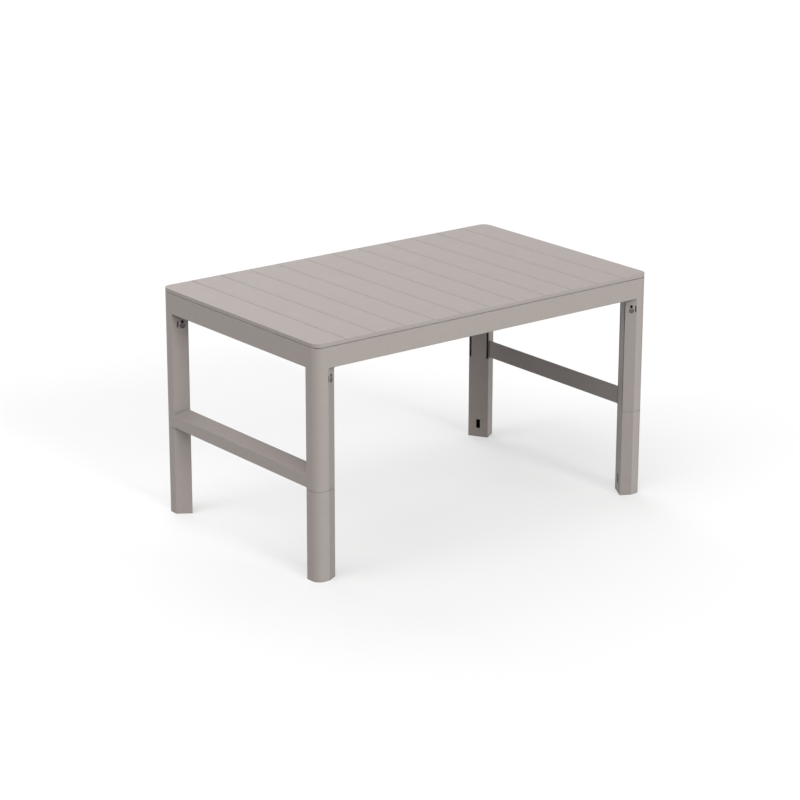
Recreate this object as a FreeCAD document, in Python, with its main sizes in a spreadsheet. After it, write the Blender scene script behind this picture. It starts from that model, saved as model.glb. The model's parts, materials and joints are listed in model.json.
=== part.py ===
import FreeCAD, Part
import math
import os
import Sketcher

# Convertible garden table, in millimetres, +Z up. The origin is on the floor under the middle of the board.
# The front is at -Y and the left is at -X. Each leg is a post of five-sided section, open on its inner side.
# A leg extension slides in the post's cavity, and a quarter-turn lock on each chamfer of the post holds it.
# With its four extensions drawn out the table stands lower, on its posts.

V = FreeCAD.Vector
UP = V(0, 0, 1)

SIZES = {
    # Whole table
    "table_length": 1160,
    "table_width": 714,
    "table_height": 654.5,
    "low_height": 402.5,
    "corner_radius": 25,
    "overrun": 1,
    # Board
    "plank_count": 12,
    "board_edge": 10.5,
    "board_skin": 4,
    "board_rim": 14,
    "edge_round": 1.2,
    "groove_width": 3.4,
    "groove_depth": 2.2,
    "reveal_height": 2.5,
    "reveal_inset": 3,
    "seat_width": 10,
    "rib_wall": 2.5,
    "rib_depth": 16.5,
    "rib_clearance": 4,
    "long_rib_count": 4,
    "boss_radius": 6,
    # Aprons
    "apron_height": 57,
    "apron_depth": 49,
    "apron_wall": 3.5,
    "apron_web": 2.5,
    "apron_round": 1.5,
    "side_web_count": 6,
    # Post
    "face_long": 40,
    "face_short": 45.5,
    "lip_long_x": 70,
    "lip_long_y": 15,
    "lip_short_x": 38.5,
    "lip_short_y": 70,
    "lip_wall": 1.5,
    "post_wall": 3,
    "post_round": 1,
    "seam_line_height": 1.6,
    "seam_line_depth": 1,
    "gusset_length": 12,
    "gusset_height": 8,
    # Stretcher
    "stretcher_lift": 4,
    "stretcher_depth": 35.6,
    "stretcher_outer_height": 34.4,
    "stretcher_inner_height": 53.8,
    "stretcher_wall": 3,
    "stretcher_block": 30,
    "stretcher_round": 1.5,
    # Leg extension
    "cap_plate": 1,
    "cap_wall": 2,
    "cap_upstand": 8,
    "cap_fit": 0.1,
    "extension_wall": 3.5,
    "deck": 4,
    "seat_gap": 0.1,
    "head_gap": 1,
    "plate_inset": 7.5,
    "web_inset": 20,
    "web_wall": 3,
    "guide_near": 27,
    "guide_far": 36,
    "guide_clearance": 0.4,
    "hook_width": 13,
    "hook_height": 28.5,
    "hook_lift": 26.5,
    "hook_round": 2,
    # Lock
    "lock_drop": 33.75,
    "lock_along_long": 15.5,
    "lock_along_short": 29.5,
    "recess_radius": 7.5,
    "recess_depth": 2.4,
    "recess_floor": 1.5,
    "recess_rim": 1,
    "head_radius": 7.3,
    "head_thickness": 1,
    "head_seat": 0.1,
    "mark_height": 1.1,
    "mark_width": 1.6,
    "mark_apex": 1.8,
    "mark_arm": 3.2,
    "hub_radius": 4,
    "hub_fit": 0.1,
    "cam_reach": 15,
    "cam_thickness": 2.2,
    "cam_clearance": 0.3,
    "notch_play": 0.3,
    "notch_sweep": 3.5,
    "notch_root": 4,
    "window_radius": 4.3,
    "window_rise": 11.75,
    "slot_back": 13,
    "slot_width": 3.6,
    "slot_rise": 13.75,
    "slot_drop": 4.75,
    # Rails
    "rail_width": 40,
    "rail_wall": 3,
    "rail_block": 22,
    "rail_clearance": 0.3,
    "rail_plank_count": 2,
    # Screws
    "screw_radius": 1.75,
    "screw_length": 12.5,
    "screw_fit": 0.05,
    "screw_head_radius": 3.5,
    "screw_head_height": 2.4,
    "cross_length": 4.5,
    "cross_width": 1,
    "cross_depth": 1.2,
    "post_screw_near": 24,
    "post_screw_far": 44,
    "post_screw_y": 30,
    "flange_screw_inset": 9,
    "rail_screw_inset": 13,
    "stretcher_screw_along": 31.5,
    "stretcher_screw_low": 12,
    "stretcher_screw_high": 34,
    "stretcher_boss_radius": 4.5,
}

# Worked out from the sizes: heights above the floor, the directions of the post's walls, and lock depths
FRAME_BOTTOM = "Sizes.table_height - Sizes.board_edge - Sizes.reveal_height - Sizes.apron_height"

WORKED = {
    "corner_x": "-Sizes.table_length / 2",
    "corner_y": "-Sizes.table_width / 2",
    "plank_pitch": "Sizes.table_length / Sizes.plank_count",
    "board_underside": "Sizes.table_height - Sizes.board_edge",
    "skin_underside": "Sizes.table_height - Sizes.board_skin",
    "frame_top": "Sizes.table_height - Sizes.board_edge - Sizes.reveal_height",
    "frame_bottom": FRAME_BOTTOM,
    "lock_height": FRAME_BOTTOM + " - Sizes.lock_drop",
    "seam": "Sizes.table_height - Sizes.low_height",
    "shoulder": "Sizes.table_height - Sizes.low_height - Sizes.seat_gap",
    "rib_reach_x": "Sizes.table_length / 2 - Sizes.apron_depth - Sizes.rib_clearance",
    "rib_reach_y": "Sizes.table_width / 2 - Sizes.apron_depth - Sizes.rib_clearance",
    "mouth_turn": "atan2(Sizes.lip_short_y - Sizes.lip_long_y; Sizes.lip_short_x - Sizes.lip_long_x)",
    "mouth_width": "hypot(Sizes.lip_short_y - Sizes.lip_long_y; Sizes.lip_short_x - Sizes.lip_long_x)",
    "long_turn": "atan2(Sizes.lip_long_y; Sizes.lip_long_x - Sizes.face_long)",
    "short_turn": "atan2(Sizes.lip_short_y - Sizes.face_short; Sizes.lip_short_x)",
    "boss_depth": "Sizes.recess_depth + Sizes.recess_floor",
    "cam_depth": "Sizes.recess_depth + Sizes.recess_floor + Sizes.cam_clearance",
    "rail_x": "Sizes.rail_plank_count * Sizes.table_length / Sizes.plank_count",
}

doc = FreeCAD.newDocument("garden_table")


def sheet(name, cells, lead):
    """A spreadsheet with one aliased cell for each entry."""
    page = doc.addObject("Spreadsheet::Sheet", name)
    for row, (alias, content) in enumerate(cells.items(), 1):
        page.set("A%d" % row, alias)
        page.set("B%d" % row, lead + str(content))
        page.setAlias("B%d" % row, alias)
    doc.recompute()
    return page


sizes = sheet("Sizes", SIZES, "")
sheet("Worked", WORKED, "=")


def worth(expression):
    """The present value of an expression, as a plain number."""
    found = sizes.evalExpression(expression)
    return float(getattr(found, "Value", found))


# Helpers that make document objects bound to the sheets

def bind(item, **expressions):
    for name, expression in expressions.items():
        item.setExpression(name, expression)
    return item


def place(x="0", y="0", z="0", turn="0", pitch="0", roll="0"):
    """The text of a placement: a position, and turns about Z, Y and X."""
    return f"placement(vector({x}; {y}; {z}); rotation({turn}; {pitch}; {roll}))"


CORNER = place("Worked.corner_x", "Worked.corner_y")
# The mouth frame lies in the open side of the post: X runs from lip to lip and Y runs back into the post
MOUTH = place(
    "Worked.corner_x + Sizes.lip_long_x",
    "Worked.corner_y + Sizes.lip_long_y",
    turn="Worked.mouth_turn",
)


def draw(sketch, points):
    """A closed outline. A point (x, y) ends a line; (x, y, centre x, centre y) ends an anticlockwise arc."""
    first = sketch.GeometryCount
    spots = [[worth(text) for text in point] for point in points]
    for index, spot in enumerate(spots):
        start = V(spots[index - 1][0], spots[index - 1][1], 0)
        end = V(spot[0], spot[1], 0)
        if len(spot) == 2:
            sketch.addGeometry(Part.LineSegment(start, end), False)
            continue
        centre = V(spot[2], spot[3], 0)
        circle = Part.Circle(centre, UP, centre.distanceToPoint(end))
        bearings = [math.atan2(p.y - centre.y, p.x - centre.x) for p in (start, end)]
        sketch.addGeometry(Part.ArcOfCircle(circle, *bearings), False)
    for index, point in enumerate(points):
        edge = first + index
        following = first + (index + 1) % len(points)
        sketch.addConstraint(Sketcher.Constraint("Coincident", edge, 2, following, 1))
        fixed = [("across", "DistanceX", 2, 0), ("along", "DistanceY", 2, 1)]
        if len(point) > 2:
            fixed.append(("centre", "DistanceX", 3, 2))
        for word, kind, end_of_edge, column in fixed:
            label = f"{word}_{edge}"
            rule = Sketcher.Constraint(kind, edge, end_of_edge, spots[index][column])
            number = sketch.addConstraint(rule)
            sketch.renameConstraint(number, label)
            sketch.setExpression("Constraints." + label, point[column])


def outline(name, loops, where):
    sketch = bind(doc.addObject("Sketcher::SketchObject", name), Placement=where)
    for points in loops:
        draw(sketch, points)
    return sketch


def rectangle(x0, y0, x1, y1):
    return [(x1, y0), (x1, y1), (x0, y1), (x0, y0)]


def rounded(x0, y0, x1, y1, radius):
    """A rectangle with four round corners, as an outline."""
    left, right = f"{x0} + {radius}", f"{x1} - {radius}"
    low, high = f"{y0} + {radius}", f"{y1} - {radius}"
    return [
        (left, y0, left, low),
        (right, y0),
        (x1, low, right, low),
        (x1, high),
        (right, y1, right, high),
        (left, y1),
        (x0, high, left, high),
        (x0, low),
    ]


def prism(name, profile, bottom, top):
    """A flat profile raised straight up from one height to another."""
    solid = doc.addObject("Part::Extrusion", name)
    solid.Base = profile
    solid.DirMode = "Custom"
    solid.Dir = UP
    solid.Solid = True
    return bind(solid, LengthFwd=top, LengthRev=f"-({bottom})")


def slab(name, profile, thickness):
    """A flat profile thickened by half to each side of its plane."""
    solid = doc.addObject("Part::Extrusion", name)
    solid.Base = profile
    solid.DirMode = "Normal"
    solid.Symmetric = True
    solid.Solid = True
    return bind(solid, LengthFwd=thickness)


def inset(name, profile, amount):
    ring = doc.addObject("Part::Offset2D", name)
    ring.Source = profile
    ring.Join = 2
    return bind(ring, Value=f"-({amount})")


def box(name, frame, low, high):
    """A box between two corners that are given in a frame."""
    solid = doc.addObject("Part::Box", name)
    spans = [f"{far} - ({near})" for near, far in zip(low, high)]
    where = f"{frame} * {place(*low)}"
    return bind(solid, Length=spans[0], Width=spans[1], Height=spans[2], Placement=where)


def cylinder(name, frame, radius, start, end, across="0", along="0"):
    """A cylinder about the frame's Z, from one depth to another."""
    solid = doc.addObject("Part::Cylinder", name)
    where = f"{frame} * {place(across, along, start)}"
    return bind(solid, Radius=radius, Height=f"{end} - ({start})", Placement=where)


def fuse(name, *pieces):
    solid = doc.addObject("Part::MultiFuse", name)
    solid.Shapes = list(pieces)
    solid.Refine = True
    return solid


def cut(name, base, tool):
    solid = doc.addObject("Part::Cut", name)
    solid.Base = base
    solid.Tool = tool
    return solid


def common(name, *pieces):
    solid = doc.addObject("Part::MultiCommon", name)
    solid.Shapes = list(pieces)
    return solid


def group(name, pieces):
    together = doc.addObject("Part::Compound", name)
    together.Links = list(pieces)
    return together


def mirror(name, source, normal):
    twin = doc.addObject("Part::Mirroring", name)
    twin.Source = source
    twin.Normal = normal
    return twin


def to_right(name, source):
    return mirror(name, source, V(1, 0, 0))


def to_rear(name, source):
    return mirror(name, source, V(0, 1, 0))


KEPT = []


def keep(item, label):
    """Marks an object as a piece of the table, under its own name."""
    item.Label = label
    KEPT.append(item)
    return item


def keep_four(item, name, ending=""):
    """A piece of the front left corner, and its mirror images at the other three corners."""
    keep(item, f"{name}_front_left{ending}")
    front_right = keep(to_right(f"{item.Name}_fr", item), f"{name}_front_right{ending}")
    keep(to_rear(f"{item.Name}_rl", item), f"{name}_rear_left{ending}")
    keep(to_rear(f"{item.Name}_rr", front_right), f"{name}_rear_right{ending}")


def four(item):
    """A tool of the front left corner, repeated at all four corners."""
    right = to_right(f"{item.Name}_right", item)
    half = group(f"{item.Name}_half", [item, right])
    return group(f"{item.Name}_four", [half, to_rear(f"{item.Name}_rear", half)])


# Helpers for PartDesign bodies

def plane(body, role):
    return next(item for item in body.Origin.OriginFeatures if item.Role == role)


def body_sketch(body, name, role, loops, lift="0"):
    sketch = body.newObject("Sketcher::SketchObject", name)
    sketch.AttachmentSupport = [(plane(body, role), "")]
    sketch.MapMode = "FlatFace"
    sketch.setExpression("AttachmentOffset.Base.z", lift)
    for points in loops:
        draw(sketch, points)
    return sketch


def pad(body, sketch, length, centred=False):
    solid = body.newObject("PartDesign::Pad", sketch.Name + "_pad")
    solid.Profile = sketch
    solid.Midplane = centred
    return bind(solid, Length=length)


def pocket(body, sketch, length, centred=False):
    """A pocket along the sketch's normal, which has to take material away."""
    doc.recompute()
    before = body.Shape.Volume
    hollow = body.newObject("PartDesign::Pocket", sketch.Name + "_pocket")
    hollow.Profile = sketch
    hollow.Midplane = centred
    hollow.Reversed = not centred
    bind(hollow, Length=length)
    doc.recompute()
    if body.Shape.Volume >= before:
        raise RuntimeError(f"{hollow.Name} takes nothing away")
    return hollow


def pattern(body, features, axis, length, count):
    row = body.newObject("PartDesign::LinearPattern", features[0].Name + "_row")
    row.Originals = features
    row.Direction = (plane(body, axis), [""])
    bind(row, Length=length, Occurrences=count)
    body.Tip = row
    return row


# Screws, all of one kind: the frame's Z points from the head's seat towards the tip

def screw(name, frame):
    head = cylinder(name + "_head", frame, "Sizes.screw_head_radius", "-Sizes.screw_head_height", "0")
    shank = cylinder(name + "_shank", frame, "Sizes.screw_radius", "0", "Sizes.screw_length")
    arms = []
    spans = [("cross_length", "cross_width"), ("cross_width", "cross_length")]
    for index, (across, along) in enumerate(spans):
        low = (f"-Sizes.{across} / 2", f"-Sizes.{along} / 2", "-Sizes.screw_head_height - Sizes.overrun")
        high = (f"Sizes.{across} / 2", f"Sizes.{along} / 2", "-Sizes.screw_head_height + Sizes.cross_depth")
        arms.append(box(f"{name}_arm_{index}", frame, low, high))
    return cut(name, fuse(name + "_blank", head, shank), fuse(name + "_cross", *arms))


def drill(name, frame):
    """The hole for a screw, from its head's seat to just past its tip."""
    radius = "Sizes.screw_radius + Sizes.screw_fit"
    return cylinder(name, frame, radius, "0", "Sizes.screw_length + Sizes.screw_fit")


def screw_set(name, frames):
    """The screws of the front left quarter, and the holes that they need."""
    screws = [screw(f"{name}_{index}", frame) for index, frame in enumerate(frames)]
    holes = [drill(f"{name}_hole_{index}", frame) for index, frame in enumerate(frames)]
    return group(name + "_quarter", screws), group(name + "_holes", holes)


flange_seat = "Worked.frame_top - Sizes.apron_wall"


def upright(x, y, z=flange_seat):
    return place(f"Worked.corner_x + {x}", f"Worked.corner_y + {y}", z)


board_screws, board_holes = screw_set("board_screw", [
    upright("Sizes.post_screw_near", "Sizes.post_screw_y"),
    upright("Sizes.post_screw_far", "Sizes.post_screw_y"),
    upright("2 * Worked.plank_pitch", "Sizes.flange_screw_inset"),
    upright("5 * Worked.plank_pitch", "Sizes.flange_screw_inset"),
    upright("Sizes.flange_screw_inset", "Sizes.table_width * (1 / 2 - 1 / Sizes.side_web_count)"),
])
rail_screws, rail_holes = screw_set("rail_screw", [
    upright("Sizes.table_length / 2 - Worked.rail_x", "Sizes.rail_screw_inset", "Worked.frame_bottom"),
])

# Frames on the two chamfers of the post: Z points into the post and X points down. On the long side's chamfer
# Y points back to the post's outer edge, and on the short side's chamfer it points forward to the lip.

CHAMFERS = {
    "long": {
        "start": ("Sizes.face_long", "0"),
        "turn": "Worked.long_turn",
        "inward": "Worked.long_turn + 90 deg",
        "lock_along": "Sizes.lock_along_long",
        "back": 1,
    },
    "short": {
        "start": ("0", "Sizes.face_short"),
        "turn": "Worked.short_turn",
        "inward": "Worked.short_turn - 90 deg",
        "lock_along": "Sizes.lock_along_short",
        "back": -1,
    },
}


def on_chamfer(side, along, height, outward=False):
    chamfer = CHAMFERS[side]
    x = f"Worked.corner_x + {chamfer['start'][0]} + ({along}) * cos({chamfer['turn']})"
    y = f"Worked.corner_y + {chamfer['start'][1]} + ({along}) * sin({chamfer['turn']})"
    turn = chamfer["inward"] + (" + 180 deg" if outward else "")
    return place(x, y, height, turn, "90")


def stretcher_screw_frame(rise):
    frame = on_chamfer("short", "Sizes.stretcher_screw_along", f"Worked.seam + {rise}", outward=True)
    return f"{frame} * {place(z='-Sizes.post_wall')}"


stretcher_screws, stretcher_holes = screw_set("stretcher_screw", [
    stretcher_screw_frame("Sizes.stretcher_screw_low"),
    stretcher_screw_frame("Sizes.stretcher_screw_high"),
])

# Profiles of the post and of its cavity, from the corner where the two outer faces would meet. The post has
# crisp edges at its head, where its faces run on into the aprons, and softened ones below.

post_profile = outline("post_profile", [[
    ("Sizes.corner_radius", "0", "Sizes.corner_radius", "Sizes.corner_radius"),
    ("Sizes.face_long", "0"),
    ("Sizes.lip_long_x", "Sizes.lip_long_y"),
    ("Sizes.lip_short_x", "Sizes.lip_short_y"),
    ("0", "Sizes.face_short"),
    ("0", "Sizes.corner_radius"),
]], CORNER)


def softened(x, y, before, after, radius="Sizes.post_round"):
    """A corner of an outline, rounded between the directions of travel before and after it."""
    reach = f"{radius} * tan(({after} - ({before})) / 2)"
    start_x = f"{x} - {reach} * cos({before})"
    start_y = f"{y} - {reach} * sin({before})"
    end_x = f"{x} + {reach} * cos({after})"
    end_y = f"{y} + {reach} * sin({after})"
    centre_x = f"{start_x} - {radius} * sin({before})"
    centre_y = f"{start_y} + {radius} * cos({before})"
    return [(start_x, start_y), (end_x, end_y, centre_x, centre_y)]


short_back = "Worked.short_turn + 180 deg"
leg_profile = outline("leg_profile", [[
    ("Sizes.corner_radius", "0", "Sizes.corner_radius", "Sizes.corner_radius"),
    *softened("Sizes.face_long", "0", "0 deg", "Worked.long_turn"),
    *softened("Sizes.lip_long_x", "Sizes.lip_long_y", "Worked.long_turn", "Worked.mouth_turn"),
    *softened("Sizes.lip_short_x", "Sizes.lip_short_y", "Worked.mouth_turn", short_back),
    *softened("0", "Sizes.face_short", short_back, "270 deg"),
    ("0", "Sizes.corner_radius"),
]], CORNER)


def past_lip(lip, step):
    """A point in the mouth beside a lip, and one straight out of the post from it."""
    x = f"Sizes.{lip}_x + {step} * Sizes.lip_wall * cos(Worked.mouth_turn)"
    y = f"Sizes.{lip}_y + {step} * Sizes.lip_wall * sin(Worked.mouth_turn)"
    out_x = f"{x} + Sizes.overrun * sin(Worked.mouth_turn)"
    out_y = f"{y} - Sizes.overrun * cos(Worked.mouth_turn)"
    return (x, y), (out_x, out_y)


long_lip, long_out = past_lip("lip_long", "1")
short_lip, short_out = past_lip("lip_short", "-1")
cavity_profile = outline("cavity_profile", [[
    ("Sizes.corner_radius", "Sizes.post_wall", "Sizes.corner_radius", "Sizes.corner_radius"),
    ("Sizes.face_long - Sizes.post_wall * tan(Worked.long_turn / 2)", "Sizes.post_wall"),
    long_lip,
    long_out,
    short_out,
    short_lip,
    ("Sizes.post_wall", "Sizes.face_short - Sizes.post_wall * tan((90 deg - Worked.short_turn) / 2)"),
    ("Sizes.post_wall", "Sizes.corner_radius"),
]], CORNER)

# The space that the posts take up, which the aprons and stretchers are cut back to

post_space = prism("post_space", post_profile, "Worked.seam", "Worked.frame_top + Sizes.overrun")
posts_space = four(post_space)


# Board

def make_board():
    half_x = "Sizes.table_length / 2"
    half_y = "Sizes.table_width / 2"
    body = doc.addObject("PartDesign::Body", "board_body")
    bind(body, Placement=place(z="Worked.board_underside"))

    def ring(margin):
        x = f"({half_x} - ({margin}))"
        y = f"({half_y} - ({margin}))"
        return rounded(f"-{x}", f"-{y}", x, y, f"(Sizes.corner_radius - ({margin}))")

    slab_sketch = body_sketch(body, "board_slab", "XY_Plane", [ring("0")])
    slab = pad(body, slab_sketch, "Sizes.board_edge")
    doc.recompute()
    middle_height = worth("Sizes.board_edge / 2")
    top_edges = [
        f"Edge{number}" for number, edge in enumerate(slab.Shape.Edges, 1)
        if all(corner.Z > middle_height for corner in edge.Vertexes)
    ]
    rim = body.newObject("PartDesign::Fillet", "board_round")
    rim.Base = (slab, top_edges)
    bind(rim, Radius="Sizes.edge_round")
    doc.recompute()

    margin = "Sizes.board_rim"
    x = f"({half_x} - {margin})"
    y = f"({half_y} - {margin})"
    hollow = rounded(f"-{x}", f"-{y}", x, y, f"(Sizes.corner_radius - {margin})")
    hollow_sketch = body_sketch(body, "board_hollow", "XY_Plane", [hollow])
    pocket(body, hollow_sketch, "Sizes.board_edge - Sizes.board_skin")

    seat = [ring("Sizes.reveal_inset"), ring("Sizes.reveal_inset + Sizes.seat_width")]
    seat_sketch = body_sketch(body, "board_seat", "XY_Plane", seat, "-Sizes.reveal_height")
    pad(body, seat_sketch, "Sizes.reveal_height")

    rib_lift = "Sizes.board_edge - Sizes.board_skin - Sizes.rib_depth"
    reach_x = "Worked.rib_reach_x"
    reach_y = "Worked.rib_reach_y"
    half_rib = "Sizes.rib_wall / 2"
    first_x = f"Worked.plank_pitch - {half_x}"
    cross_rib = rectangle(f"{first_x} - {half_rib}", f"-{reach_y}", f"{first_x} + {half_rib}", reach_y)
    cross_sketch = body_sketch(body, "board_cross_rib", "XY_Plane", [cross_rib], rib_lift)
    cross_pad = pad(body, cross_sketch, "Sizes.rib_depth")
    row = "Sizes.table_length - 2 * Worked.plank_pitch"
    pattern(body, [cross_pad], "X_Axis", row, "Sizes.plank_count - 1")

    spacing = f"2 * {reach_y} / (Sizes.long_rib_count + 1)"
    first_y = f"{spacing} - {reach_y}"
    long_rib = rectangle(f"-{reach_x}", f"{first_y} - {half_rib}", reach_x, f"{first_y} + {half_rib}")
    long_sketch = body_sketch(body, "board_long_rib", "XY_Plane", [long_rib], rib_lift)
    long_pad = pad(body, long_sketch, "Sizes.rib_depth")
    pattern(body, [long_pad], "Y_Axis", f"2 * {reach_y} - 2 * {spacing}", "Sizes.long_rib_count")

    # A groove is a V that runs across the board. The sketch's X is the board's X and its Y is the board's Z.
    slope = "Sizes.overrun * Sizes.groove_width / Sizes.groove_depth / 2"
    wide = f"(Sizes.groove_width / 2 + {slope})"
    top = "Sizes.board_edge + Sizes.overrun"
    groove = [
        (f"{first_x} + {wide}", top),
        (f"{first_x} - {wide}", top),
        (first_x, "Sizes.board_edge - Sizes.groove_depth"),
    ]
    groove_sketch = body_sketch(body, "board_groove", "XZ_Plane", [groove])
    groove_pocket = pocket(body, groove_sketch, "Sizes.table_width + Sizes.overrun", centred=True)
    pattern(body, [groove_pocket], "X_Axis", row, "Sizes.plank_count - 1")

    # Eight bosses stand over the post heads and take the post screws
    bosses = [
        cylinder(f"board_boss_{index}", upright(x, "Sizes.post_screw_y", "0"), "Sizes.boss_radius",
                 "Worked.frame_top", "Worked.skin_underside")
        for index, x in enumerate(["Sizes.post_screw_near", "Sizes.post_screw_far"])
    ]
    whole = fuse("board_whole", body, four(group("board_bosses", bosses)))
    return cut("board", whole, four(board_holes))


# Aprons: channels open to the inside, with webs, cut back to the posts

def make_apron(name, span, inset_of_ends, count, along_x):
    """A channel between the two posts of one side. Its webs stand between the planks or fixings."""
    turn = "0" if along_x else "-90"
    side = "Worked.corner_y" if along_x else "Worked.corner_x"
    where = place(y=side) if along_x else place(x=side, turn=turn)
    body = bind(doc.addObject("PartDesign::Body", name + "_body"), Placement=where)
    low, high = "Worked.frame_bottom", "Worked.frame_top"
    wall = "Sizes.apron_wall"
    channel = [
        ("Sizes.apron_depth", low),
        ("Sizes.apron_depth", f"{low} + {wall}"),
        (wall, f"{low} + {wall}"),
        (wall, f"{high} - {wall}"),
        ("Sizes.apron_depth", f"{high} - {wall}"),
        ("Sizes.apron_depth", high),
        ("0", high),
        *softened("0", low, "270 deg", "360 deg", "Sizes.apron_round"),
    ]
    channel_sketch = body_sketch(body, name + "_channel", "YZ_Plane", [channel])
    pad(body, channel_sketch, f"{span} - 2 * ({inset_of_ends})", centred=True)
    pitch = f"{span} / ({count})"
    first = f"{pitch} * 3 / 2 - {span} / 2"
    web = rectangle(f"{first} - Sizes.apron_web / 2", f"{wall} / 2", f"{first} + Sizes.apron_web / 2",
                    "Sizes.apron_depth - Sizes.overrun")
    web_sketch = body_sketch(body, name + "_web", "XY_Plane", [web], f"{low} + {wall} / 2")
    web_pad = pad(body, web_sketch, f"Sizes.apron_height - {wall}")
    pattern(body, [web_pad], "X_Axis", f"{span} - 3 * {pitch}", f"{count} - 2")
    return body


# Post with its lock seats

def lock_frame(side):
    return on_chamfer(side, CHAMFERS[side]["lock_along"], "Worked.lock_height")


def lock_slot(side):
    """The upright slot beside a lock, with round ends, as a tool."""
    middle = "Sizes.slot_back" if CHAMFERS[side]["back"] > 0 else "-Sizes.slot_back"
    radius = "Sizes.slot_width / 2"
    top = f"-Sizes.slot_rise + {radius}"
    bottom = f"Sizes.slot_drop - {radius}"
    points = [
        (bottom, f"{middle} - {radius}"),
        (bottom, f"{middle} + {radius}", bottom, middle),
        (top, f"{middle} + {radius}"),
        (top, f"{middle} - {radius}", top, middle),
    ]
    profile = outline(f"slot_profile_{side}", [points], lock_frame(side))
    return slab(f"slot_{side}", profile, "2 * (Sizes.post_wall + Sizes.overrun)")


def gusset(side):
    """A small triangular web in the chamfer's plane, from the lip out under the apron."""
    chamfer = CHAMFERS[side]
    lip = "lip_long" if side == "long" else "lip_short"
    x = f"Worked.corner_x + Sizes.{lip}_x + Sizes.lip_wall / 2 * cos({chamfer['inward']})"
    y = f"Worked.corner_y + Sizes.{lip}_y + Sizes.lip_wall / 2 * sin({chamfer['inward']})"
    where = place(x, y, "Worked.frame_bottom", chamfer["turn"], roll="90")
    points = [
        ("-Sizes.lip_wall", "-Sizes.gusset_height"),
        ("0", "-Sizes.gusset_height"),
        ("Sizes.gusset_length", "0"),
        ("-Sizes.lip_wall", "0"),
    ]
    return slab(f"gusset_{side}", outline(f"gusset_profile_{side}", [points], where), "Sizes.lip_wall")


def make_post():
    shaft = prism("post_shaft", leg_profile, "Worked.seam", "Worked.frame_bottom")
    head = prism("post_head", post_profile, "Worked.frame_bottom", "Worked.frame_top")
    blank = fuse("post_blank", shaft, head)
    cavity = prism("post_cavity", cavity_profile, "Worked.seam - Sizes.overrun", flange_seat)
    added = [cut("post_open", blank, cavity)]
    taken = []
    for side in CHAMFERS:
        frame = lock_frame(side)
        added.append(cylinder(f"lock_boss_{side}", frame, "Sizes.recess_radius + Sizes.recess_rim",
                              "Sizes.lip_wall / 2", "Worked.boss_depth"))
        added.append(gusset(side))
        start = "-Sizes.overrun"
        through = "Worked.boss_depth + Sizes.overrun"
        bore_radius = "Sizes.hub_radius + Sizes.hub_fit"
        taken.append(cylinder(f"recess_{side}", frame, "Sizes.recess_radius", start, "Sizes.recess_depth"))
        taken.append(cylinder(f"bore_{side}", frame, bore_radius, start, through))
        taken.append(cylinder(f"window_{side}", frame, "Sizes.window_radius", start, through,
                              across="-Sizes.window_rise"))
        taken.append(lock_slot(side))
    boss_height = "Sizes.post_wall - Sizes.lip_wall / 2"
    for index, rise in enumerate(["Sizes.stretcher_screw_low", "Sizes.stretcher_screw_high"]):
        added.append(cylinder(f"stretcher_boss_{index}", stretcher_screw_frame(rise),
                              "Sizes.stretcher_boss_radius", "0", boss_height))
    taken += [board_holes, stretcher_holes]
    return cut("post", fuse("post_solid", *added), fuse("post_tools", *taken))


# Locks: a round head with a raised mark, a hub through the wall, and a cam that points down when released

def make_lock(side):
    frame = lock_frame(side)
    face = "Sizes.recess_depth - Sizes.head_seat - Sizes.head_thickness"
    seat = "Sizes.recess_depth - Sizes.head_seat"
    tip = "Worked.cam_depth + Sizes.cam_thickness"
    head = cylinder(f"lock_head_{side}", frame, "Sizes.head_radius", face, seat)
    hub = cylinder(f"lock_hub_{side}", frame, "Sizes.hub_radius", seat, tip)
    cam = box(f"lock_cam_{side}", frame, ("0", "-Sizes.hub_radius", "Worked.cam_depth"),
              ("Sizes.cam_reach", "Sizes.hub_radius", tip))
    # The mark is a V with its apex towards the cam, drawn with X down
    apex = "-Sizes.mark_apex"
    arm = "Sizes.mark_arm"
    width = "Sizes.mark_width"
    points = [
        (apex, "0"),
        (f"{apex} - {arm}", arm),
        (f"{apex} - {arm} - {width}", f"{arm} - {width} / 2"),
        (f"{apex} - {width}", "0"),
        (f"{apex} - {arm} - {width}", f"{width} / 2 - {arm}"),
        (f"{apex} - {arm}", f"-{arm}"),
    ]
    middle = f"{frame} * {place(z=f'{face} - Sizes.mark_height / 2')}"
    mark = slab(f"lock_mark_{side}", outline(f"mark_profile_{side}", [points], middle), "Sizes.mark_height")
    return fuse(f"lock_{side}", head, hub, cam, mark)


# Leg extension: the lower leg, with a plug that stands in the post's cavity

def cam_notch(side):
    """The gap in the plug's guide flange that a cam turns into, down to the root of the flange."""
    frame = lock_frame(side)
    near = "Sizes.hub_radius + Sizes.overrun"
    far = "Sizes.cam_reach * 2"
    low_y, high_y = (near, far) if CHAMFERS[side]["back"] > 0 else (f"-({far})", f"-({near})")
    low = ("-Sizes.hub_radius - Sizes.notch_play", low_y, "-Sizes.overrun")
    high = ("Sizes.cam_reach + Sizes.notch_sweep", high_y, "Sizes.web_inset - Sizes.notch_root")
    return box(f"notch_{side}", frame, low, high)


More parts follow.
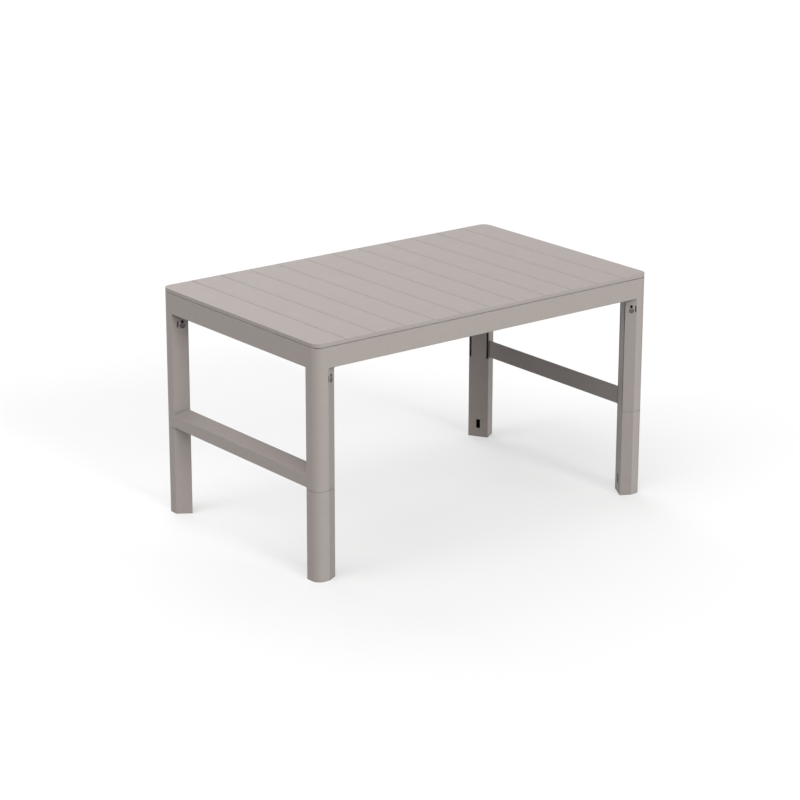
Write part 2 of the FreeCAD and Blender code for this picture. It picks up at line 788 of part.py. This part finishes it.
def make_extension():
    ledge = "Worked.shoulder - Sizes.seam_line_height"
    ledge_profile = inset("leg_ledge", post_profile, "Sizes.seam_line_depth")
    lower = prism("leg_lower", leg_profile, "Sizes.cap_plate", ledge)
    upper = prism("leg_upper", ledge_profile, ledge, "Worked.shoulder")
    leg = fuse("leg_blank", lower, upper)
    deck_bottom = "Worked.shoulder - Sizes.deck"
    hollow = prism("leg_hollow", inset("leg_inside", post_profile, "Sizes.extension_wall"),
                   "Sizes.cap_plate - Sizes.overrun", deck_bottom)
    top = "Worked.frame_bottom - Sizes.head_gap"
    plate = box("plug_plate", MOUTH, ("Sizes.plate_inset", "0", deck_bottom),
                ("Worked.mouth_width - Sizes.plate_inset", "Sizes.extension_wall", top))
    web = box("plug_web", MOUTH, ("Sizes.web_inset", "Sizes.extension_wall / 2", deck_bottom),
              ("Worked.mouth_width - Sizes.web_inset", "Sizes.guide_near + Sizes.overrun", top))
    guide_space = prism("guide_space", inset("guide_profile", cavity_profile, "Sizes.guide_clearance"),
                        deck_bottom, top)
    guide_band = box("guide_band", MOUTH, ("0", "Sizes.guide_near", deck_bottom),
                     ("Worked.mouth_width", "Sizes.guide_far", top))
    guide = common("plug_guide", guide_space, guide_band)
    margin = "Sizes.web_inset + Sizes.web_wall"
    inside = box("plug_inside", MOUTH, (margin, "Sizes.extension_wall", f"{deck_bottom} - Sizes.overrun"),
                 (f"Worked.mouth_width - ({margin})", "Sizes.guide_far - Sizes.extension_wall",
                  f"{top} - Sizes.extension_wall"))
    middle = f"{MOUTH} * {place('Worked.mouth_width / 2', '0', 'Sizes.hook_lift', roll='90')}"
    hook_points = rounded("-Sizes.hook_width / 2", "0", "Sizes.hook_width / 2", "Sizes.hook_height",
                          "Sizes.hook_round")
    hook = slab("hook_slot", outline("hook_profile", [hook_points], middle),
                "2 * (Sizes.extension_wall + Sizes.overrun)")
    shell = fuse("leg_solid", cut("leg_open", leg, hollow), plate, web, guide)
    tools = fuse("leg_tools", inside, hook, cam_notch("long"), cam_notch("short"))
    return cut("leg", shell, tools)


def make_cap():
    """The foot cap: a plate under the leg with an upstand inside its walls."""
    plate = prism("cap_base", leg_profile, "0", "Sizes.cap_plate")
    outer = inset("cap_outside", post_profile, "Sizes.extension_wall + Sizes.cap_fit")
    inner = inset("cap_inside", post_profile, "Sizes.extension_wall + Sizes.cap_fit + Sizes.cap_wall")
    top = "Sizes.cap_plate + Sizes.cap_upstand"
    upstand = cut("cap_ring", prism("cap_block", outer, "Sizes.cap_plate / 2", top),
                  prism("cap_well", inner, "Sizes.cap_plate", f"{top} + Sizes.overrun"))
    return fuse("cap", plate, upstand)


# Stretcher: a channel open below, whose top slopes up to the inside

def make_stretcher():
    body = bind(doc.addObject("PartDesign::Body", "stretcher_body"),
                Placement=place("Worked.corner_x", z="Worked.seam + Sizes.stretcher_lift"))
    depth, wall = "Sizes.stretcher_depth", "Sizes.stretcher_wall"
    outer, inner = "Sizes.stretcher_outer_height", "Sizes.stretcher_inner_height"
    slope = f"180 deg + atan2({inner} - {outer}; {depth})"
    edge = "Sizes.stretcher_round"
    block = [
        *softened("0", "0", "270 deg", "360 deg", edge),
        *softened(depth, "0", "0 deg", "90 deg", edge),
        *softened(depth, inner, "90 deg", slope, edge),
        *softened("0", outer, slope, "270 deg", edge),
    ]
    block_sketch = body_sketch(body, "stretcher_block", "XZ_Plane", [block])
    pad(body, block_sketch, "Sizes.table_width - 2 * Sizes.face_short", centred=True)
    rise = f"({inner} - {outer}) / {depth} * {wall}"
    hollow = [
        (f"{depth} - {wall}", "-Sizes.overrun"),
        (f"{depth} - {wall}", f"{inner} - {rise} - {wall}"),
        (wall, f"{outer} + {rise} - {wall}"),
        (wall, "-Sizes.overrun"),
    ]
    hollow_sketch = body_sketch(body, "stretcher_hollow", "XZ_Plane", [hollow])
    hollow_length = "Sizes.table_width - 2 * Sizes.lip_short_y - 2 * Sizes.stretcher_block"
    pocket(body, hollow_sketch, hollow_length, centred=True)
    return cut("stretcher", body, fuse("stretcher_tools", posts_space, four(stretcher_holes)))


# Cross rail: an inverted channel under the board, whose ends stand in the front and rear aprons

def make_rail():
    body = bind(doc.addObject("PartDesign::Body", "rail_body"),
                Placement=place("-Worked.rail_x", z="Worked.frame_bottom + Sizes.apron_wall"))
    half = "Sizes.rail_width / 2"
    height = "(Worked.skin_underside - Sizes.rib_depth - Worked.frame_bottom - Sizes.apron_wall)"
    span = "Sizes.table_width - 2 * Sizes.apron_wall - 2 * Sizes.rail_clearance"
    solid_sketch = body_sketch(body, "rail_block", "XZ_Plane", [rectangle(f"-{half}", "0", half, height)])
    pad(body, solid_sketch, span, centred=True)
    side = f"({half} - Sizes.rail_wall)"
    hollow = rectangle(f"-{side}", "-Sizes.overrun", side, f"{height} - Sizes.rail_wall")
    hollow_sketch = body_sketch(body, "rail_hollow", "XZ_Plane", [hollow])
    pocket(body, hollow_sketch, f"{span} - 2 * Sizes.rail_block", centred=True)
    return cut("rail", body, four(rail_holes))


board = keep(make_board(), "tabletop")

apron_tools = fuse("apron_tools", posts_space, four(board_holes), four(rail_holes))
front = make_apron("apron_front", "Sizes.table_length", "Sizes.face_long", "Sizes.plank_count", True)
front_cut = keep(cut("apron_front", front, apron_tools), "apron_front")
keep(to_rear("apron_rear", front_cut), "apron_rear")
left = make_apron("apron_left", "Sizes.table_width", "Sizes.face_short", "Sizes.side_web_count", False)
left_cut = keep(cut("apron_left", left, apron_tools), "apron_left")
keep(to_right("apron_right", left_cut), "apron_right")

keep_four(make_post(), "leg_post")
keep_four(make_extension(), "leg_extension")
keep_four(make_cap(), "foot_cap")
for side in CHAMFERS:
    keep_four(make_lock(side), "lock", f"_{side}")

stretcher = keep(make_stretcher(), "stretcher_left")
keep(to_right("stretcher_right", stretcher), "stretcher_right")
rail = keep(make_rail(), "cross_rail_left")
keep(to_right("rail_right", rail), "cross_rail_right")
keep(four(board_screws), "board_screws")
keep(four(stretcher_screws), "stretcher_screws")
keep(four(rail_screws), "rail_screws")

doc.recompute()

for item in doc.Objects:
    if any(word in item.State for word in ("Invalid", "Error")):
        raise RuntimeError(f"{item.Name} failed: {item.State}")
    if item.TypeId == "Part::Cut" and item.Shape.Volume >= item.Base.Shape.Volume:
        raise RuntimeError(f"{item.Name} takes nothing away")
for item in KEPT:
    if item.Shape.isNull() or not item.Shape.isValid() or not item.Shape.Solids:
        raise RuntimeError(f"{item.Label} has no sound shape")

os.makedirs("parts", exist_ok=True)
for item in KEPT:
    item.Shape.exportStep(f"parts/{item.Label}.step")
    print(f"{item.Label}: {len(item.Shape.Solids)} solids, {item.Shape.Volume / 1000:.1f} cm3")
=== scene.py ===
import json
import math

import bpy
from mathutils import Matrix, Vector


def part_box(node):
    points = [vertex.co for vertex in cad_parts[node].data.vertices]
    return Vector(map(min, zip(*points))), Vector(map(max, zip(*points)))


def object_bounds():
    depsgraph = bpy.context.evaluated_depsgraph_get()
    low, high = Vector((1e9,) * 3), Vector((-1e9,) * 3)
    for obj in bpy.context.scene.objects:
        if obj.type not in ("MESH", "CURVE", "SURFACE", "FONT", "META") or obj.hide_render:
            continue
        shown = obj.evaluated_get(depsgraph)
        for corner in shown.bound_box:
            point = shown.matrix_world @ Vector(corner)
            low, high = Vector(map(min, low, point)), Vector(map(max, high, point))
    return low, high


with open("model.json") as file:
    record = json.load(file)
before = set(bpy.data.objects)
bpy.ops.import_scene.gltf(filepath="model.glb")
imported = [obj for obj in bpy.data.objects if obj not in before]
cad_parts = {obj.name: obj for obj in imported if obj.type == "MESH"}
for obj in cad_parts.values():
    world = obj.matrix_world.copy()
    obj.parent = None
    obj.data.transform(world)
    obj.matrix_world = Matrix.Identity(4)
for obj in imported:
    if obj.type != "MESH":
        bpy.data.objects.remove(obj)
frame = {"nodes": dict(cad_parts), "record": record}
cad_low, cad_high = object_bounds()

# Sizes are in metres, and colours are linear

MM = 0.001

# The camera stands off the front left corner, a little above the table
CAMERA_AT = Vector((-4.3969, -5.5619, 2.5961))
LOOKS_AT = Vector((-0.0733, -0.0613, 0.3318))
CAMERA_ROLL = math.radians(0.128)
CAMERA_REACH = 100
SENSOR_IN_MM = 36
FRAME_PIXELS = 800
FOCAL_PIXELS = 2640.5

# Studio lights: each one's direction, the angle in degrees that its source spans,
# its strength and its colour
WHITE = (1.0, 1.0, 1.0)
ROSE = (1.0, 0.99, 1.0)
WARM = (0.985, 1.0, 0.97)
LIGHTS = {
    "front_near": ((0.0, -1.0, 0.5), 15, 2.05, WARM),
    "front_left": ((-0.4, -1.0, 0.9), 30, 1.5, WARM),
    "front_right": ((0.55, -0.8, 0.05), 12, 2.0, WARM),
    "left_high": ((-1.0, -0.1, 1.5), 60, 3.2, ROSE),
    "left_low": ((-1.0, 0.1, 0.6), 20, 0.45, ROSE),
    "rear_low": ((-0.2, 0.98, 0.05), 15, 0.75, WHITE),
    "right": ((1.0, 0.4, 1.2), 40, 0.86, WHITE),
    "rear": ((0.3, 1.0, 0.9), 40, 2.0, ROSE),
}

# The backdrop's strength as the camera sees it, and as it lights the table
BACKDROP = 1.0
SURROUND = 0.02

FLOOR_HALF = 30
FLOOR_COLOUR = (0.25, 0.25, 0.25)
FLOOR_GLOW = 0.48
FLOOR_ROUGHNESS = 0.9

PLASTIC = (0.181, 0.160, 0.150)
DARK_PLASTIC = (0.110, 0.100, 0.094)
STEEL = (0.62, 0.61, 0.60)
DULL_STEEL = (0.496, 0.488, 0.480)

# Moulded plastic: the mottling of its colour, the swing of its sheen, the faint sink
# of its walls, and the grain over that
MOTTLE_SIZE = 18 * MM
MOTTLE_SHARES = (0.975, 1.02)
SHEEN_SIZE = 130 * MM
SHEEN_SWING = 0.03
SINK_SIZE = 60 * MM
SINK_STRENGTH = 0.04
SINK_DEPTH = 0.3 * MM
GRAIN_STRENGTH = 0.35
GRAIN_NOISE_ROUGHNESS = 0.6
PLASTIC_SPECULAR = 0.4

BOARD_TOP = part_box("tabletop")[1][2]
BOARD_EDGE = 10.5 * MM
EDGE_BOTTOM = BOARD_TOP - BOARD_EDGE
FRAME_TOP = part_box("apron_front")[1][2]

# Where the painted shade stops, as the heights where it starts to fade and where it is gone:
# on the board below its rim, on the frame in the shadow line above it, and for some layers
# below the locks, so that that shade falls only up under the aprons
BELOW_RIM = (BOARD_TOP - 2.5 * MM, BOARD_TOP - 3 * MM)
IN_LINE = (FRAME_TOP - 1 * MM, FRAME_TOP - 0.5 * MM)
BELOW_LOCKS = (500 * MM, 450 * MM)

# Light is painted on the walls of the shadow line at the table's two ends, which makes them
# paler: they start to be, and are fully, this far from the middle and at these heights
END = (cad_high[0] - 6 * MM, cad_high[0] - 5 * MM)
END_PAINTED_LIGHT = 1.65
BOARD_LINE_LIGHT = (EDGE_BOTTOM, EDGE_BOTTOM - 0.2 * MM)
FRAME_LINE_LIGHT = (FRAME_TOP - 0.4 * MM, FRAME_TOP - 0.2 * MM)

# Shade is painted on the legs' slanting sides beside the front and the rear, which makes
# them darker.
# They face inward along the table and outward across it: how far they face each way, times
# how far they are from the table's middle, passes this range.
INNER_TURN = (0.05, 0.1)
SLANT_SHADE_SHARE = 0.87

# Shade is painted on faces under the table whose normal rises through this range, which
# makes them darker
LOOKS_UP = (0.3, 0.8)
COVERED_TOP_SHADE = 0.87

# Shade is painted on a lock's head, darker the deeper it lies below the wall's face, so the
# head is darker than the top of its mark, which ends nearer to the wall's face than this
MARK_DEPTH = (0.7 * MM, 0.8 * MM)
HEAD_SHADE_SHARE = 0.3

# How far each layer of painted shade in slots and corners looks for cover, the openness
# between which it fades, the darkest that it gets, and where it stops
BOARD_SHADE = [(5 * MM, (0.2, 0.8), 0.3, [BELOW_RIM])]
FRAME_SHADE = [
    (70 * MM, (0.45, 0.95), 0.5, [IN_LINE, BELOW_LOCKS]),
    (12 * MM, (0.45, 0.9), 0.3, [IN_LINE, BELOW_LOCKS]),
    (25 * MM, (0.15, 0.6), 0.12, [IN_LINE]),
]
PLUG_SHADE = [(12 * MM, (0.5, 0.85), 0.08, [BELOW_LOCKS])]
CAP_SHADE = [(25 * MM, (0.15, 0.6), 0.12, [])]
SHADE_SAMPLES = 8

# Most of a noise lies in this range
NOISE_RANGE = (0.3, 0.7)

# A colour mix's sockets, which share their names with those of its other data types
MIX_COLOURS = (6, 7)
MIX_RESULT = 2


# Nodes

def new_material(name):
    """A material with its node tree and its shader."""
    material = bpy.data.materials.new(name)
    material.use_nodes = True
    tree = material.node_tree
    return material, tree, tree.nodes["Principled BSDF"]


def coordinate(tree, kind):
    """Where a point lies on the table at rest ("Object"), or how it faces ("Normal")."""
    return tree.nodes.new("ShaderNodeTexCoord").outputs[kind]


def split(tree, vector):
    """A vector's x, y and z."""
    node = tree.nodes.new("ShaderNodeSeparateXYZ")
    tree.links.new(vector, node.inputs["Vector"])
    return node.outputs["X"], node.outputs["Y"], node.outputs["Z"]


def calculated(tree, operation, first, second=None):
    """One sum on a value, with another value or a plain number where it takes two."""
    node = tree.nodes.new("ShaderNodeMath")
    node.operation = operation
    tree.links.new(first, node.inputs[0])
    if isinstance(second, bpy.types.NodeSocket):
        tree.links.new(second, node.inputs[1])
    elif second is not None:
        node.inputs[1].default_value = second
    return node.outputs["Value"]


def map_range(tree, value, from_range, to_range):
    """Maps a value from one range onto another, and stops at that one's ends."""
    node = tree.nodes.new("ShaderNodeMapRange")
    ends = zip(("From Min", "From Max", "To Min", "To Max"), (*from_range, *to_range))
    for end, number in ends:
        node.inputs[end].default_value = number
    tree.links.new(value, node.inputs["Value"])
    return node.outputs["Result"]


def noise(tree, place, size, detail, roughness=0.55):
    """Noise whose lumps are about the given size across."""
    node = tree.nodes.new("ShaderNodeTexNoise")
    node.inputs["Scale"].default_value = 1 / size
    node.inputs["Detail"].default_value = detail
    node.inputs["Roughness"].default_value = roughness
    tree.links.new(place, node.inputs["Vector"])
    return node.outputs["Fac"]


def spread(tree, value, low, high):
    """Maps the middle of a noise onto a range."""
    return map_range(tree, value, NOISE_RANGE, (low, high))


def mix_colour(tree, factor, low, high):
    node = tree.nodes.new("ShaderNodeMix")
    node.data_type = "RGBA"
    tree.links.new(factor, node.inputs["Factor"])
    for socket, colour in zip(MIX_COLOURS, (low, high)):
        node.inputs[socket].default_value = (*colour, 1)
    return node.outputs[MIX_RESULT]


def scaled(tree, colour, share):
    node = tree.nodes.new("ShaderNodeVectorMath")
    node.operation = "SCALE"
    tree.links.new(colour, node.inputs[0])
    tree.links.new(share, node.inputs["Scale"])
    return node.outputs["Vector"]


def bump(tree, height, strength, distance, normal=None):
    """A rough surface's normal, over that of a coarser one where it is given."""
    node = tree.nodes.new("ShaderNodeBump")
    node.inputs["Strength"].default_value = strength
    node.inputs["Distance"].default_value = distance
    tree.links.new(height, node.inputs["Height"])
    if normal is not None:
        tree.links.new(normal, node.inputs["Normal"])
    return node.outputs["Normal"]


# Colour, with painted light and shade

def mottled(tree, place, colour):
    """A plastic's colour with slight, soft mottling."""
    mottle = spread(tree, noise(tree, place, MOTTLE_SIZE, detail=4), 0, 1)
    low, high = ([channel * share for channel in colour] for share in MOTTLE_SHARES)
    return mix_colour(tree, mottle, low, high)


def paint_slant_shade(tree, place, colour):
    """Paints shade on the slanting sides of the legs beside the front and the rear."""
    outward = tree.nodes.new("ShaderNodeVectorMath")
    outward.operation = "MULTIPLY"
    tree.links.new(place, outward.inputs[0])
    tree.links.new(coordinate(tree, "Normal"), outward.inputs[1])
    along, across, _ = split(tree, outward.outputs["Vector"])
    inward = calculated(tree, "MULTIPLY", along, -1)
    turned = calculated(tree, "MINIMUM", inward, across)
    return scaled(tree, colour, map_range(tree, turned, INNER_TURN, (1, SLANT_SHADE_SHARE)))


def paint_covered_top_shade(tree, place, colour):
    """Paints shade on what faces up under the table, such as the tops of the stretchers."""
    upward = split(tree, coordinate(tree, "Normal"))[2]
    height = split(tree, place)[2]
    up_share = map_range(tree, upward, LOOKS_UP, (1, COVERED_TOP_SHADE))
    low_share = map_range(tree, height, BELOW_LOCKS, (1, COVERED_TOP_SHADE))
    return scaled(tree, colour, calculated(tree, "MAXIMUM", up_share, low_share))


def paint_line_light(tree, place, colour, heights):
    """Paints light into the shadow line: lifts a colour past a height, at the table's two
    ends.
    """
    along, _, height = split(tree, place)
    from_middle = calculated(tree, "ABSOLUTE", along)
    end_lift = map_range(tree, from_middle, END, (1, END_PAINTED_LIGHT))
    height_lift = map_range(tree, height, heights, (1, END_PAINTED_LIGHT))
    return scaled(tree, colour, calculated(tree, "MINIMUM", end_lift, height_lift))


def paint_corner_shade(tree, place, colour, reach, openness, darkest, unshaded_heights):
    """Paints shade into a colour in slots and corners, by how little of the surroundings
    they see.
    """
    sky = tree.nodes.new("ShaderNodeAmbientOcclusion")
    sky.samples = SHADE_SAMPLES
    sky.inputs["Distance"].default_value = reach
    unshaded = map_range(tree, sky.outputs["AO"], openness, (darkest, 1))
    height = split(tree, place)[2]
    for heights in unshaded_heights:
        shade_free = map_range(tree, height, heights, (0, 1))
        unshaded = calculated(tree, "MAXIMUM", unshaded, shade_free)
    return scaled(tree, colour, unshaded)


# Materials

def moulded_surface(tree, shader, place, roughness, grain, depth):
    """A spark-eroded grain over a faint sink of the wall, with uneven sheen."""
    sheen = noise(tree, place, SHEEN_SIZE, detail=2)
    sheen = spread(tree, sheen, roughness - SHEEN_SWING, roughness + SHEEN_SWING)
    tree.links.new(sheen, shader.inputs["Roughness"])
    sink = noise(tree, place, SINK_SIZE, detail=1)
    sunk = bump(tree, sink, SINK_STRENGTH, SINK_DEPTH)
    grained = noise(tree, place, grain, detail=3, roughness=GRAIN_NOISE_ROUGHNESS)
    rough = bump(tree, grained, GRAIN_STRENGTH, depth, sunk)
    tree.links.new(rough, shader.inputs["Normal"])
    shader.inputs["Specular IOR Level"].default_value = PLASTIC_SPECULAR


def moulded(name, colour, roughness, grain, shade_layers, line_light_heights=None):
    """Moulded plastic with painted shade on its slanting leg sides, on tops under the table
    and in layers in its slots and corners, and painted light in its shadow line where
    heights for that are given.
    """
    material, tree, shader = new_material(name)
    place = coordinate(tree, "Object")
    shaded = mottled(tree, place, colour)
    shaded = paint_slant_shade(tree, place, shaded)
    shaded = paint_covered_top_shade(tree, place, shaded)
    if line_light_heights is not None:
        shaded = paint_line_light(tree, place, shaded, line_light_heights)
    for layer in shade_layers:
        shaded = paint_corner_shade(tree, place, shaded, *layer)
    tree.links.new(shaded, shader.inputs["Base Color"])
    moulded_surface(tree, shader, place, roughness, grain, depth=0.05 * MM)
    return material


def shaded_lock_plastic(joint):
    """A lock's plastic with painted shade: its head darkens with depth below the wall's
    face, and the top of its mark keeps the colour of the table.
    """
    material, tree, shader = new_material(joint["child"] + "_plastic")
    place = coordinate(tree, "Object")
    axis = Vector(joint["axis"])
    along = tree.nodes.new("ShaderNodeVectorMath")
    along.operation = "DOT_PRODUCT"
    along.inputs[1].default_value = axis
    tree.links.new(place, along.inputs[0])
    wall = axis.dot(Vector(joint["pos_m"]))
    depth = calculated(tree, "SUBTRACT", along.outputs["Value"], wall)
    from_wall = calculated(tree, "ABSOLUTE", depth)
    share = map_range(tree, from_wall, MARK_DEPTH, (1, HEAD_SHADE_SHARE))
    head = scaled(tree, mottled(tree, place, PLASTIC), share)
    tree.links.new(head, shader.inputs["Base Color"])
    moulded_surface(tree, shader, place, roughness=0.48, grain=0.5 * MM, depth=0.02 * MM)
    return material


def plated_steel():
    """Zinc-plated steel with a turned, slightly cloudy surface."""
    material, tree, shader = new_material("plated_steel")
    place = coordinate(tree, "Object")
    cloud = spread(tree, noise(tree, place, 3 * MM, detail=4), 0, 1)
    tree.links.new(mix_colour(tree, cloud, DULL_STEEL, STEEL), shader.inputs["Base Color"])
    sheen = spread(tree, noise(tree, place, 1 * MM, detail=3), 0.3, 0.45)
    tree.links.new(sheen, shader.inputs["Roughness"])
    turned = noise(tree, place, 0.4 * MM, detail=2)
    rough = bump(tree, turned, strength=0.2, distance=0.02 * MM)
    tree.links.new(rough, shader.inputs["Normal"])
    shader.inputs["Metallic"].default_value = 1
    return material


def floor_paint():
    """A sheet lit from below and above, so that shadows on it stay pale."""
    material, _, shader = new_material("studio_floor")
    shader.inputs["Base Color"].default_value = (*FLOOR_COLOUR, 1)
    shader.inputs["Emission Color"].default_value = (*WHITE, 1)
    shader.inputs["Emission Strength"].default_value = FLOOR_GLOW
    shader.inputs["Roughness"].default_value = FLOOR_ROUGHNESS
    shader.inputs["Specular IOR Level"].default_value = 0
    return material


# The plastics carry painted shade in layers in their slots and corners, and the board and
# frame painted light in their shadow lines
MATERIALS = {
    "board_plastic": moulded("board_plastic", PLASTIC, roughness=0.55, grain=1.1 * MM,
                             shade_layers=BOARD_SHADE, line_light_heights=BOARD_LINE_LIGHT),
    "frame_plastic": moulded("frame_plastic", PLASTIC, roughness=0.58, grain=0.9 * MM,
                             shade_layers=FRAME_SHADE, line_light_heights=FRAME_LINE_LIGHT),
    "extension_plastic": moulded("extension_plastic", PLASTIC, roughness=0.58,
                                 grain=0.9 * MM, shade_layers=PLUG_SHADE),
    "cap_rubber": moulded("cap_rubber", DARK_PLASTIC, roughness=0.7, grain=0.7 * MM,
                          shade_layers=CAP_SHADE),
    "screw_steel": plated_steel(),
}


def dress_nodes():
    """Gives every CAD node the material of its slot, and each lock one of its own."""
    record = frame["record"]
    joints = record["behaviour"]["joints"]
    locks = {joint["child"]: joint for joint in joints if joint["type"] == "hinge"}
    for row in record["subparts"]:
        name = row["node"]
        is_lock = name in locks
        material = shaded_lock_plastic(locks[name]) if is_lock else MATERIALS[row["material_slot"]]
        piece = frame["nodes"][name]
        piece.data.materials.clear()
        piece.data.materials.append(material)


# Studio

def make_floor():
    mesh = bpy.data.meshes.new("studio_floor")
    half = FLOOR_HALF
    corners = [(-half, -half, 0), (half, -half, 0), (half, half, 0), (-half, half, 0)]
    mesh.from_pydata(corners, [], [(0, 1, 2, 3)])
    floor = bpy.data.objects.new("studio_floor", mesh)
    floor.data.materials.append(floor_paint())
    bpy.context.scene.collection.objects.link(floor)


def make_world():
    """A white backdrop that adds little light, so that the soft lights shape the table."""
    world = bpy.data.worlds.new("studio_world")
    world.use_nodes = True
    tree = world.node_tree
    background = tree.nodes["Background"]
    background.inputs["Color"].default_value = (*WHITE, 1)
    seen = tree.nodes.new("ShaderNodeLightPath").outputs["Is Camera Ray"]
    strength = map_range(tree, seen, (0, 1), (SURROUND, BACKDROP))
    tree.links.new(strength, background.inputs["Strength"])
    bpy.context.scene.world = world


def soft_light(name, toward, spread_angle, power, colour):
    """Even light from a wide patch of the studio around the given direction."""
    light = bpy.data.lights.new(name, "SUN")
    light.angle = math.radians(spread_angle)
    light.energy = power
    light.color = colour
    item = bpy.data.objects.new(name, light)
    item.rotation_euler = Vector(toward).to_track_quat("Z", "Y").to_euler()
    bpy.context.scene.collection.objects.link(item)


def make_camera():
    """The photograph's viewpoint, with its small roll."""
    ahead = (LOOKS_AT - CAMERA_AT).normalized()
    right = ahead.cross(Vector((0, 0, 1))).normalized()
    up = right.cross(ahead)
    across = math.cos(CAMERA_ROLL) * right + math.sin(CAMERA_ROLL) * up
    above = math.cos(CAMERA_ROLL) * up - math.sin(CAMERA_ROLL) * right
    turn = Matrix((across, above, -ahead)).transposed().to_4x4()
    camera = bpy.data.cameras.new("camera")
    camera.sensor_width = SENSOR_IN_MM
    camera.lens = SENSOR_IN_MM * FOCAL_PIXELS / FRAME_PIXELS
    camera.clip_end = CAMERA_REACH
    item = bpy.data.objects.new("camera", camera)
    item.matrix_world = Matrix.Translation(CAMERA_AT) @ turn
    bpy.context.scene.collection.objects.link(item)
    bpy.context.scene.camera = item


dress_nodes()
make_floor()
make_world()
for name, settings in LIGHTS.items():
    soft_light(name, *settings)
make_camera()
bpy.context.scene.view_settings.view_transform = "Standard"
